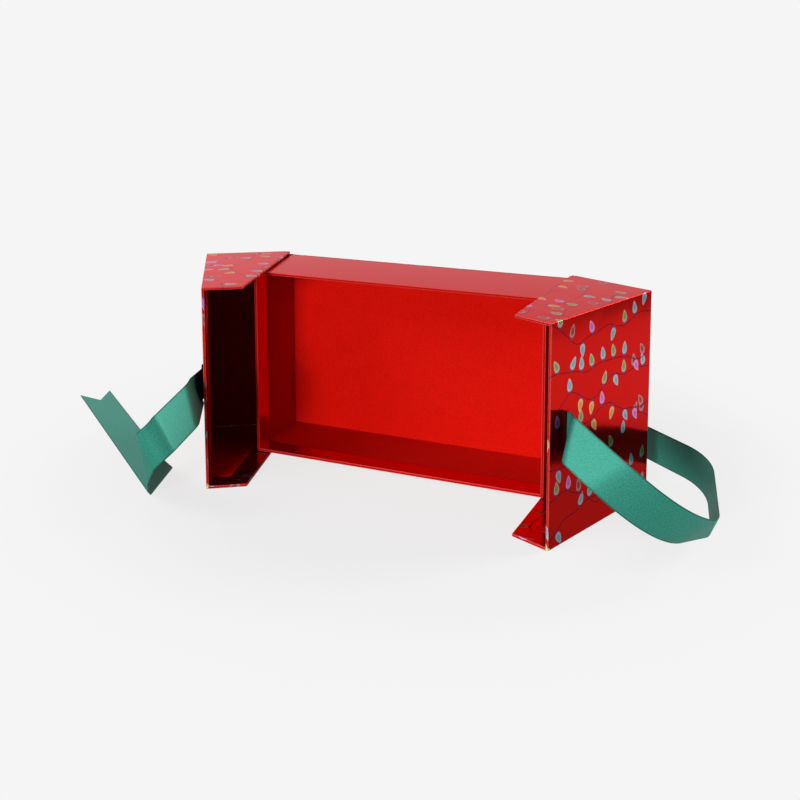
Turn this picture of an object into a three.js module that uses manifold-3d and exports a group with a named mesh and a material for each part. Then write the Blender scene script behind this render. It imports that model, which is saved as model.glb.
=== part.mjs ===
// A gift box with two doors. A board tray stands on its long side, open to the
// front, and a board shell with a tie ribbon is hinged at each end of its back.
// X runs to the right door, Y to the back, Z up; the origin is the middle of
// the back panel's outer face.
import * as THREE from "three";
import { mergeVertices } from "three/addons/utils/BufferGeometryUtils.js";
import Module from "manifold-3d";

const wasm = await Module();
wasm.setup();

// Driving dimensions in millimetres
const trayLength = 220;
const trayHeight = 138;
const trayDepth = 61.5;
const backThickness = 1.5;
const trayBoard = 1.4;
const doorBoard = 2;
const paper = 0.2;
const glueGap = 0.05;
const foldGap = 0.3;
const sideClearance = 2.5;
const frontClearance = 0.5;
const flapClearance = 0.5;
const middleGap = 0.2;
const flapShortEdge = 28;
const hingeCornerCut = 4;
const hingeGap = 0.6;
const hingePaper = 0.3;
const turnIn = 15;
const slitFromEdge = 18;
const slitHeight = 28;
const slitWidth = 1.2;
const ribbonWidth = 25.4;
const ribbonThickness = 0.4;
const ribbonGap = 0.1;
const ribbonBend = 0.7;
const ribbonTab = 18;
const bulgeMargin = 2;
const cutOverrun = 1;

const ribbonStep = 3.6;
const ribbonBlend = 16;
const fishtail = 21;
const fishtailReach = 40;
const nudgeShare = 0.125;

// The left ribbon: where it turns up off the table, and its bends by their
// distance from the slit in the lid
const leftRibbonLength = 393;
const leftTurnX = -163.1;
const leftTurnY = -117.8;
const leftTailAngle = -41.5;
const leftFirstAt = 208.5;
const leftFirstSkewAngle = 56;
const leftFirstTurnAngle = 119.5;
const leftFirstRadius = 24;
const leftSecondAt = 112.7;
const leftSecondSkewAngle = -20;
const leftSecondTurnAngle = -141;
const leftSecondRadius = 11.6;
const leftThirdAt = 54.5;
const leftThirdSkewAngle = -10;
const leftThirdTurnAngle = -49;
const leftThirdRadius = 3;
const leftLastAt = 27.3;
const leftLastSkewAngle = 61;
const leftLastTurnAngle = 39;
const leftLastRadius = 3.4;

// The right ribbon from the lid: its bends on the way down to the table and back
const rightRibbonLength = 272;
const rightFirstAt = 4;
const rightFirstSkewAngle = 0;
const rightFirstTurnAngle = 78;
const rightFirstRadius = 3;
const rightSecondAt = 14;
const rightSecondSkewAngle = 28;
const rightSecondTurnAngle = -96.5;
const rightSecondRadius = 3;
const rightThirdAt = 53;
const rightThirdSkewAngle = -24;
const rightThirdTurnAngle = -91.5;
const rightThirdRadius = 42;
const rightFourthAt = 139;
const rightFourthSkewAngle = 47.5;
const rightFourthTurnAngle = -53.5;
const rightFourthRadius = 4;
const rightLastAt = 186;
const rightLastSkewAngle = 13.5;
const rightLastTurnAngle = -55;
const rightLastRadius = 36;

// How far each door stands open in the photograph, in degrees
const leftOpenAngle = 59.7;
const rightOpenAngle = 67.1;

const halfLength = trayLength / 2;
const halfHeight = trayHeight / 2;
const frontY = -(backThickness + trayDepth);
const hingeX = halfLength + sideClearance;
const doorDepth = -frontY + frontClearance + doorBoard;
const doorHalfHeight = halfHeight + flapClearance + doorBoard;
const lidWidth = hingeX - middleGap;
const slitAt = lidWidth - slitFromEdge;
const floorZ = -doorHalfHeight;
const slitRun = doorBoard + ribbonGap + ribbonThickness / 2 - ribbonBend;
const quarterBend = (ribbonBend * Math.PI) / 2;

const coverPaper = new THREE.MeshStandardMaterial({ name: "cover_paper", color: 0xa80a0e, roughness: 0.25 });
const liningPaper = new THREE.MeshStandardMaterial({ name: "lining_paper", color: 0xa80a0e, roughness: 0.35 });
const greyBoard = new THREE.MeshStandardMaterial({ name: "grey_board", color: 0x8c8375, roughness: 0.9 });
const satin = new THREE.MeshStandardMaterial({ name: "satin", color: 0x4fb3a2, roughness: 0.4 });

function mesh(name, geometry, material) {
  const part = new THREE.Mesh(geometry, material);
  part.name = name;
  return part;
}

// A closed body from corner points and faces, turned so that its faces look out
function closedBody(points, faces) {
  const corner = new THREE.Vector3();
  let volume = 0;
  for (const [a, b, c] of faces) volume += points[a].dot(corner.crossVectors(points[b], points[c]));
  const indices = faces.flatMap(([a, b, c]) => (volume < 0 ? [a, c, b] : [a, b, c]));
  const geometry = new THREE.BufferGeometry();
  geometry.setAttribute("position", new THREE.Float32BufferAttribute(points.flatMap((p) => p.toArray()), 3));
  geometry.setIndex(indices);
  geometry.computeVertexNormals();
  return geometry;
}

// A box between any two opposite corners
function boxBetween(one, other) {
  const box = new THREE.Box3().setFromPoints([one, other]);
  const size = box.getSize(new THREE.Vector3());
  const middle = box.getCenter(new THREE.Vector3());
  return new THREE.BoxGeometry(size.x, size.y, size.z).translate(middle.x, middle.y, middle.z);
}

function toManifold(geometry) {
  const bare = geometry.clone();
  bare.deleteAttribute("normal");
  bare.deleteAttribute("uv");
  const welded = mergeVertices(bare);
  return new wasm.Manifold(new wasm.Mesh({
    numProp: 3,
    vertProperties: new Float32Array(welded.attributes.position.array),
    triVerts: new Uint32Array(welded.index.array),
  }));
}

function fromManifold(solid) {
  const result = solid.getMesh();
  const geometry = new THREE.BufferGeometry();
  geometry.setAttribute("position", new THREE.Float32BufferAttribute(result.vertProperties, 3));
  geometry.setIndex(Array.from(result.triVerts));
  geometry.computeVertexNormals();
  return geometry;
}

// Moves each edge of a convex outline inwards by its own distance
function insetOutline(outline, insets) {
  const count = outline.length;
  const edges = outline.map((from, i) => {
    const to = outline[(i + 1) % count];
    const along = new THREE.Vector2().subVectors(to, from).normalize();
    const inward = new THREE.Vector2(-along.y, along.x);
    return { along, start: from.clone().addScaledVector(inward, insets[i]) };
  });
  return edges.map((edge, i) => {
    const before = edges[(i + count - 1) % count];
    const gap = new THREE.Vector2().subVectors(edge.start, before.start);
    const reach = gap.cross(edge.along) / before.along.cross(edge.along);
    return before.start.clone().addScaledVector(before.along, reach);
  });
}

// A flat plate whose outer and inner outlines have the same number of corners
function plate(outer, inner, place, nearDepth, farDepth) {
  const count = outer.length;
  const points = [
    ...outer.map((p) => place(p.x, p.y, nearDepth)),
    ...inner.map((p) => place(p.x, p.y, farDepth)),
  ];
  const faces = [];
  for (let i = 0; i < count; i += 1) {
    const next = (i + 1) % count;
    if (i > 0 && next > 0) faces.push([0, next, i], [count, count + i, count + next]);
    faces.push([i, next, count + i], [next, count + next, count + i]);
  }
  return closedBody(points, faces);
}

// A band that follows the four sides of the tray; each profile point is a
// distance in from the outside and a distance forward of the back face
function band(profile) {
  const points = profile.flatMap(([inwards, forward]) => {
    const x = halfLength - inwards;
    const z = halfHeight - inwards;
    return [[-x, -z], [x, -z], [x, z], [-x, z]].map(([cx, cz]) => new THREE.Vector3(cx, -forward, cz));
  });
  const sides = 4;
  const faces = [];
  for (let i = 0; i < profile.length; i += 1) {
    const row = i * sides;
    const nextRow = ((i + 1) % profile.length) * sides;
    for (let j = 0; j < sides; j += 1) {
      const k = (j + 1) % sides;
      faces.push([row + j, row + k, nextRow + j], [row + k, nextRow + k, nextRow + j]);
    }
  }
  return closedBody(points, faces);
}

const v3 = (x, y, z) => new THREE.Vector3(x, y, z);
const v2 = (x, y) => new THREE.Vector2(x, y);

// The tray and the back panel it is glued to
function buildTray() {
  const tray = new THREE.Group();
  tray.name = "tray";
  const skin = paper + glueGap;
  const wallIn = skin + trayBoard;
  const liningIn = wallIn + skin;
  const rimIn = liningIn + skin;
  const floorBack = backThickness + glueGap + skin;
  const floorFront = floorBack + trayBoard;
  const front = -frontY;
  const boardFront = front - skin;

  tray.add(mesh("back_panel", boxBetween(
    v3(-halfLength, -backThickness, -halfHeight), v3(halfLength, 0, halfHeight)), coverPaper));

  const endX = halfLength - skin;
  const topZ = halfHeight - skin;
  const innerX = halfLength - wallIn;
  const innerZ = halfHeight - wallIn;
  const wall = (name, x0, x1, z0, z1, forward) => tray.add(mesh(name,
    boxBetween(v3(x0, -forward, z0), v3(x1, -floorBack, z1)), greyBoard));
  wall("tray_floor", -innerX, innerX, -innerZ, innerZ, floorFront);
  wall("tray_top_wall", -endX, endX, innerZ, topZ, boardFront);
  wall("tray_bottom_wall", -endX, endX, -topZ, -innerZ, boardFront);
  wall("tray_left_wall", -endX, -innerX, -innerZ, innerZ, boardFront);
  wall("tray_right_wall", innerX, endX, -innerZ, innerZ, boardFront);

  const lip = front - turnIn;
  const wrapBack = backThickness + glueGap;
  tray.add(mesh("tray_wrap", band([
    [turnIn, wrapBack], [0, wrapBack], [0, front], [rimIn, front], [rimIn, lip], [rimIn - paper, lip],
    [rimIn - paper, front - paper], [paper, front - paper], [paper, wrapBack + paper],
    [turnIn, wrapBack + paper],
  ]), coverPaper));

  const liningBack = floorFront + glueGap;
  tray.add(mesh("tray_wall_lining", band([
    [liningIn - paper, liningBack], [liningIn - paper, boardFront],
    [liningIn, boardFront], [liningIn, liningBack],
  ]), liningPaper));
  const sheetIn = liningIn + glueGap;
  tray.add(mesh("tray_floor_lining", boxBetween(
    v3(-halfLength + sheetIn, -liningBack - paper, -halfHeight + sheetIn),
    v3(halfLength - sheetIn, -liningBack, halfHeight - sheetIn)), liningPaper));

  const stripFrom = halfLength + glueGap;
  const stripTo = hingeX - hingePaper;
  tray.add(mesh("left_hinge_strip", boxBetween(
    v3(-stripTo, -hingePaper, -halfHeight), v3(-stripFrom, 0, halfHeight)), coverPaper));
  tray.add(mesh("right_hinge_strip", boxBetween(
    v3(stripFrom, -hingePaper, -halfHeight), v3(stripTo, 0, halfHeight)), coverPaper));
  return tray;
}

// A bend of a ribbon starts at a distance along it, its line is skewed from
// square, and it turns by an angle round a radius
const bend = (at, skew, turn, radius) => ({ at, skew, turn, radius });

// Where a point of the flat ribbon comes to after its bends, seen from its start
function bentPoint(along, across, bends) {
  let point = v3(along, across, 0);
  for (const { at, skew, turn, radius } of [...bends].reverse()) {
    const skewAngle = THREE.MathUtils.degToRad(skew);
    const fullAngle = THREE.MathUtils.degToRad(Math.abs(turn));
    const side = Math.sign(turn);
    const square = v3(Math.cos(skewAngle), Math.sin(skewAngle), 0);
    const ruling = v3(-Math.sin(skewAngle), Math.cos(skewAngle), 0);
    const past = (along - at) * square.x + across * square.y;
    if (past <= 0) continue;
    const start = v3(at, 0, 0);
    const offset = point.clone().sub(start);
    const angle = Math.min(past / radius, fullAngle);
    const beyond = past > radius * fullAngle;
    const onward = beyond ? offset.dot(square) - radius * fullAngle : 0;
    const height = beyond ? offset.z : 0;
    const reach = radius * Math.sin(angle) + onward * Math.cos(angle) - side * height * Math.sin(angle);
    const drop = radius * (1 - Math.cos(angle)) + onward * Math.sin(angle);
    point = start.addScaledVector(square, reach).addScaledVector(ruling, offset.dot(ruling));
    point.z = side * drop + height * Math.cos(angle);
  }
  return point;
}

// A matrix with the ribbon's own axes: ahead, across and off its face
function ribbonFrame(origin, yaw, pitch, roll) {
  const [y, p, r] = [yaw, pitch, roll].map((angle) => THREE.MathUtils.degToRad(angle));
  const ahead = v3(Math.cos(y) * Math.cos(p), Math.sin(y) * Math.cos(p), Math.sin(p));
  const level = v3(-Math.sin(y), Math.cos(y), 0);
  const across = level.clone().multiplyScalar(Math.cos(r));
  across.addScaledVector(ahead.clone().cross(level), Math.sin(r));
  return new THREE.Matrix4().makeBasis(ahead, across, ahead.clone().cross(across)).setPosition(origin);
}

// A ribbon's closed body from its rows and a function that places each point
function ribbonBody(rows, surface) {
  const columns = 4;
  const nudge = ribbonThickness * nudgeShare;
  const half = ribbonWidth / 2;
  const length = rows[rows.length - 1];
  const points = [];
  for (const row of rows) {
    for (let j = 0; j <= columns; j += 1) {
      const across = half * ((2 * j) / columns - 1);
      const notch = fishtail * (1 - Math.abs(across) / half);
      const near = Math.max(0, 1 - (length - row) / fishtailReach);
      const along = row - notch * near;
      const ahead = surface(along + nudge, across).sub(surface(along - nudge, across));
      const beside = surface(along, across + nudge).sub(surface(along, across - nudge));
      const off = ahead.cross(beside).normalize();
      const middle = surface(along, across);
      points.push(middle.clone().addScaledVector(off, -ribbonThickness / 2));
      points.push(middle.addScaledVector(off, ribbonThickness / 2));
    }
  }
  const index = (i, j, face) => (i * (columns + 1) + j) * 2 + face;
  const last = rows.length - 1;
  const faces = [];
  const quad = (a, b, c, d) => faces.push([a, b, c], [a, c, d]);
  for (let i = 0; i < last; i += 1) {
    for (let j = 0; j < columns; j += 1) {
      quad(index(i, j, 1), index(i + 1, j, 1), index(i + 1, j + 1, 1), index(i, j + 1, 1));
      quad(index(i, j, 0), index(i, j + 1, 0), index(i + 1, j + 1, 0), index(i + 1, j, 0));
    }
    quad(index(i, 0, 0), index(i + 1, 0, 0), index(i + 1, 0, 1), index(i, 0, 1));
    quad(index(i, columns, 1), index(i + 1, columns, 1), index(i + 1, columns, 0), index(i, columns, 0));
  }
  for (let j = 0; j < columns; j += 1) {
    quad(index(0, j, 0), index(0, j, 1), index(0, j + 1, 1), index(0, j + 1, 0));
    quad(index(last, j, 0), index(last, j + 1, 0), index(last, j + 1, 1), index(last, j, 1));
  }
  return closedBody(points, faces);
}

// The part of a ribbon inside the lid: through the slit, then flat under the lining
function tabPoint(along, across, point) {
  const inside = -along;
  const angle = Math.min(Math.max((inside - slitRun) / ribbonBend, 0), Math.PI / 2);
  const flat = Math.max(inside - slitRun - quarterBend, 0);
  const depth = Math.min(inside, slitRun) + ribbonBend * Math.sin(angle);
  return point(slitAt - ribbonBend * (1 - Math.cos(angle)) - flat, doorDepth - depth, across);
}

// A door's tie ribbon; outside gives the points of its loose part in the room
function buildRibbon(door, point, length, outside) {
  const turnSteps = 4;
  const rows = [-(slitRun + quarterBend + ribbonTab)];
  for (let i = turnSteps; i >= 0; i -= 1) rows.push(-(slitRun + (quarterBend * i) / turnSteps));
  const looseRows = Math.ceil(length / ribbonStep);
  for (let i = 0; i <= looseRows; i += 1) rows.push((length * i) / looseRows);
  const toDoor = door.matrix.clone().invert();
  return ribbonBody(rows, (along, across) => {
    if (along <= 0) return tabPoint(along, across, point);
    const exact = point(slitAt, doorDepth + along, across);
    const loose = outside(along, across).applyMatrix4(toDoor);
    return exact.lerp(loose, THREE.MathUtils.smoothstep(along, 0, ribbonBlend));
  });
}

// The left ribbon is laid from its tail, flat on the table, back to the lid
const fromTail = (distance) => leftRibbonLength - distance;
const leftBends = [
  bend(fromTail(leftFirstAt), leftFirstSkewAngle, leftFirstTurnAngle, leftFirstRadius),
  bend(fromTail(leftSecondAt), leftSecondSkewAngle, leftSecondTurnAngle, leftSecondRadius),
  bend(fromTail(leftThirdAt), leftThirdSkewAngle, leftThirdTurnAngle, leftThirdRadius),
  bend(fromTail(leftLastAt), leftLastSkewAngle, leftLastTurnAngle, leftLastRadius),
];
const leftFrame = ribbonFrame(v3(leftTurnX, leftTurnY, floorZ + ribbonThickness), leftTailAngle, 0, 0)
  .multiply(new THREE.Matrix4().makeTranslation(-fromTail(leftFirstAt), 0, 0));
const leftOutside = (along, across) => bentPoint(fromTail(along), across, leftBends).applyMatrix4(leftFrame);

// The right ribbon is laid from the slit, down towards the table and back
const rightBends = [
  bend(rightFirstAt, rightFirstSkewAngle, rightFirstTurnAngle, rightFirstRadius),
  bend(rightSecondAt, rightSecondSkewAngle, rightSecondTurnAngle, rightSecondRadius),
  bend(rightThirdAt, rightThirdSkewAngle, rightThirdTurnAngle, rightThirdRadius),
  bend(rightFourthAt, rightFourthSkewAngle, rightFourthTurnAngle, rightFourthRadius),
  bend(rightLastAt, rightLastSkewAngle, rightLastTurnAngle, rightLastRadius),
];
const rightTurn = THREE.MathUtils.degToRad(rightOpenAngle);
const rightHinge = new THREE.Matrix4().makeRotationZ(rightTurn).setPosition(hingeX, 0, 0);
const quarterTurn = 90;
const rightFrame = ribbonFrame(v3(-slitAt, -doorDepth, 0), -quarterTurn, 0, quarterTurn);
rightFrame.premultiply(rightHinge);
const rightOutside = (along, across) => bentPoint(along, across, rightBends).applyMatrix4(rightFrame);

// One door shell: the lid, the end panel and the two flaps, folded at mitres
function buildDoor(side, name, degrees, length, outside) {
  const door = new THREE.Group();
  door.name = `${name}_door`;
  door.position.set(side * hingeX, 0, 0);
  door.rotation.z = side * THREE.MathUtils.degToRad(degrees);
  door.updateMatrix();
  const point = (inward, forward, up) => v3(-side * inward, -forward, up);
  const fold = foldGap / Math.SQRT2;
  const inFold = doorBoard + fold;
  const sheetFold = inFold + foldGap;
  const sheetDepth = doorBoard + glueGap;

  const onLid = (u, v, depth) => point(u, doorDepth - depth, v);
  const onEnd = (u, v, depth) => point(depth, u, v);
  const onFlap = (up) => (u, v, depth) => point(u, v, up * (doorHalfHeight - depth));
  const board = (outline, folds, place) => {
    const outer = insetOutline(outline, folds.map((folded) => (folded ? fold : 0)));
    const inner = insetOutline(outline, folds.map((folded) => (folded ? inFold : 0)));
    return plate(outer, inner, place, 0, doorBoard);
  };
  const sheet = (outline, folds, place) => {
    const edge = insetOutline(outline, folds.map((folded) => (folded ? sheetFold : turnIn)));
    return plate(edge, edge, place, sheetDepth, sheetDepth + paper);
  };
  const rectangle = (from, to) => [
    v2(from, -doorHalfHeight), v2(to, -doorHalfHeight), v2(to, doorHalfHeight), v2(from, doorHalfHeight),
  ];

  const lidOutline = rectangle(0, lidWidth);
  const lidFolds = [true, false, true, true];
  const lidBoard = toManifold(board(lidOutline, lidFolds, onLid));
  const slit = boxBetween(
    point(slitAt - slitWidth / 2, doorDepth - doorBoard - cutOverrun, -slitHeight / 2),
    point(slitAt + slitWidth / 2, doorDepth + cutOverrun, slitHeight / 2));
  door.add(mesh(`${name}_lid_panel`, fromManifold(lidBoard.subtract(toManifold(slit))), coverPaper));

  const bulgeDepth = doorBoard + 2 * ribbonGap + ribbonThickness;
  const bulgeEdge = ribbonWidth / 2 + bulgeMargin;
  const bulgeFrom = slitAt - ribbonTab - 2 * bulgeMargin;
  const bulge = boxBetween(
    point(bulgeFrom - paper, doorDepth - sheetDepth, -bulgeEdge - paper),
    point(slitAt + bulgeMargin, doorDepth - bulgeDepth - paper, bulgeEdge + paper));
  const pocket = boxBetween(
    point(bulgeFrom, doorDepth - doorBoard, -bulgeEdge),
    point(slitAt + bulgeMargin - paper, doorDepth - bulgeDepth, bulgeEdge));
  const lidSheet = toManifold(sheet(lidOutline, lidFolds, onLid));
  const lining = lidSheet.add(toManifold(bulge)).subtract(toManifold(pocket));
  door.add(mesh(`${name}_lid_lining`, fromManifold(lining), liningPaper));

  const endOutline = rectangle(hingeGap, doorDepth);
  const endFolds = [true, true, true, false];
  door.add(mesh(`${name}_end_panel`, board(endOutline, endFolds, onEnd), coverPaper));
  door.add(mesh(`${name}_end_lining`, sheet(endOutline, endFolds, onEnd), liningPaper));

  const shortFrom = doorDepth - flapShortEdge;
  const slope = v2(lidWidth, shortFrom).normalize();
  const flapCorners = [v2(lidWidth, shortFrom), v2(lidWidth, doorDepth), v2(0, doorDepth)];
  const cutOutline = [slope.clone().multiplyScalar(hingeCornerCut), ...flapCorners, v2(0, hingeCornerCut)];
  const flapOutline = [v2(0, 0), ...flapCorners];
  for (const [up, level] of [[1, "top"], [-1, "bottom"]]) {
    const flap = board(cutOutline, [false, false, true, true, false], onFlap(up));
    door.add(mesh(`${name}_${level}_flap`, flap, coverPaper));
    const flapSheet = sheet(flapOutline, [false, false, true, true], onFlap(up));
    door.add(mesh(`${name}_${level}_flap_lining`, flapSheet, liningPaper));
  }

  door.add(mesh(`${name}_ribbon`, buildRibbon(door, point, length, outside), satin));
  return door;
}

const giftBox = new THREE.Group();
giftBox.name = "gift_box";
giftBox.add(buildTray());
giftBox.add(buildDoor(-1, "left", leftOpenAngle, leftRibbonLength, leftOutside));
giftBox.add(buildDoor(1, "right", rightOpenAngle, rightRibbonLength, rightOutside));
export default giftBox;
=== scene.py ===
# An open gift box of metallised paper on board, with two hinged door shells, a
# tray and two satin tie ribbons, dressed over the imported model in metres.
import math

import bmesh
import bpy
import numpy as np
from mathutils import Matrix, Vector


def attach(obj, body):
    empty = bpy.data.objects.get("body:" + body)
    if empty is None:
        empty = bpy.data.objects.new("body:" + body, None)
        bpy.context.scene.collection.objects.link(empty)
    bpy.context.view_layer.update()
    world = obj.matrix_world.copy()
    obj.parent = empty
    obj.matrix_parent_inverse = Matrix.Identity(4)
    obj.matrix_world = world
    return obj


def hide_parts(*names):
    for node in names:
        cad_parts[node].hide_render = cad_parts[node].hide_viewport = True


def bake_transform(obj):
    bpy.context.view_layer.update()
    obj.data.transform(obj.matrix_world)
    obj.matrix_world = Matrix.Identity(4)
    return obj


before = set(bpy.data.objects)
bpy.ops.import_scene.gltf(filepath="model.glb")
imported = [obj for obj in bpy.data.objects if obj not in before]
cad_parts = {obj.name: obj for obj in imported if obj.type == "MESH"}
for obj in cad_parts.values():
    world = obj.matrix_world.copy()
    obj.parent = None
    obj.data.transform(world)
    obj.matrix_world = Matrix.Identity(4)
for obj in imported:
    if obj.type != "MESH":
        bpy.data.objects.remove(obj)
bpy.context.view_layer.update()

MM = 0.001

# Sizes in millimetres, the same as in the solid model
tray_length, tray_height, tray_depth = 220.0, 138.0, 61.5
back_thickness, tray_board, door_board = 1.5, 1.4, 2.0
paper, glue_gap = 0.2, 0.05
side_clearance, front_clearance, flap_clearance, middle_gap = 2.5, 0.5, 0.5, 0.2
flap_short_edge, corner_cut, hinge_gap = 28.0, 4.0, 0.6
turn_in, slit_from_edge, slit_height, slit_width = 15.0, 18.0, 28.0, 1.2
ribbon_width, ribbon_bend, ribbon_tab = 25.4, 0.7, 18.0
ribbon_blend, fishtail, fishtail_reach = 6.0, 21.0, 40.0
ribbon_raised = 0.4
left_open, right_open = 59.7, 67.1

front = back_thickness + tray_depth
hinge_x = tray_length / 2 + side_clearance
depth = front + front_clearance + door_board
half = tray_height / 2 + flap_clearance + door_board
width = hinge_x - middle_gap
slit_at = width - slit_from_edge
short_from = depth - flap_short_edge
floor_z = -half
# the way that a flap's sloping edge runs, from the hinge to the free edge
flap_slope = Vector((width, short_from)).normalized()


# Camera: the photograph's viewpoint
def set_camera():
    # the photograph's width and the focal length, both in pixels
    pixels, focal = 800, 1035.9
    yaw, pitch, roll = (math.radians(angle) for angle in (21.76, -6.91, -0.09))
    ahead = Vector((-math.sin(yaw) * math.cos(pitch), math.cos(yaw) * math.cos(pitch), math.sin(pitch)))
    level = Vector((math.cos(yaw), math.sin(yaw), 0))
    upright = level.cross(ahead)
    right = level * math.cos(roll) + upright * math.sin(roll)
    up = right.cross(ahead)
    data = bpy.data.cameras.new("camera")
    data.sensor_width = 36
    data.lens = data.sensor_width * focal / pixels
    data.shift_y = -0.3
    data.clip_start, data.clip_end = 0.01, 50
    camera = bpy.data.objects.new("camera", data)
    spot = Vector((267.58, -717.8, 313.34 + floor_z)) * MM
    camera.matrix_world = Matrix.Translation(spot) @ Matrix((right, up, -ahead)).transposed().to_4x4()
    bpy.context.scene.collection.objects.link(camera)
    bpy.context.scene.camera = camera


set_camera()


# Materials
def linear(colour):
    """The linear values of an sRGB hex colour such as "#c8141e", with alpha 1."""
    parts = [int(colour[i:i + 2], 16) / 255 for i in (1, 3, 5)]
    return (*(c / 12.92 if c <= 0.04045 else ((c + 0.055) / 1.055) ** 2.4 for c in parts), 1.0)


def add(tree, kind, inputs=None, **settings):
    """Adds a shader node, with its settings, and with its inputs set to values or linked to outputs."""
    made = tree.nodes.new("ShaderNode" + kind)
    for name, value in settings.items():
        setattr(made, name, value)
    for name, value in (inputs or {}).items():
        if isinstance(value, bpy.types.NodeSocket):
            tree.links.new(value, made.inputs[name])
        else:
            made.inputs[name].default_value = value
    return made


def new_material(name):
    material = bpy.data.materials.new(name)
    material.use_nodes = True
    material.node_tree.nodes.clear()
    return material, material.node_tree


# The printed garland in millimetres on the flat sheet, with the shares of its bulbs that hang below
# their string and that are missing, and the most that a bulb leans, in radians
string_pitch, string_swing, bulb_spacing = 20.0, 42.0, 12.0
hanging_share, missing_share, most_lean = 0.36, 0.06, 0.55
bulb_half_length, bulb_from_string, bulb_half_width, bulb_taper = 4.4, 5.9, 2.45, 1.15
cap_from_string, cap_half = 1.0, 0.95
# light blue, gold, lilac, green, light blue again and a faint brown
bulb_inks = ("#7ba8b6", "#cf9a3c", "#c66cbc", "#84985a", "#7ba8b6", "#9c4238")


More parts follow.
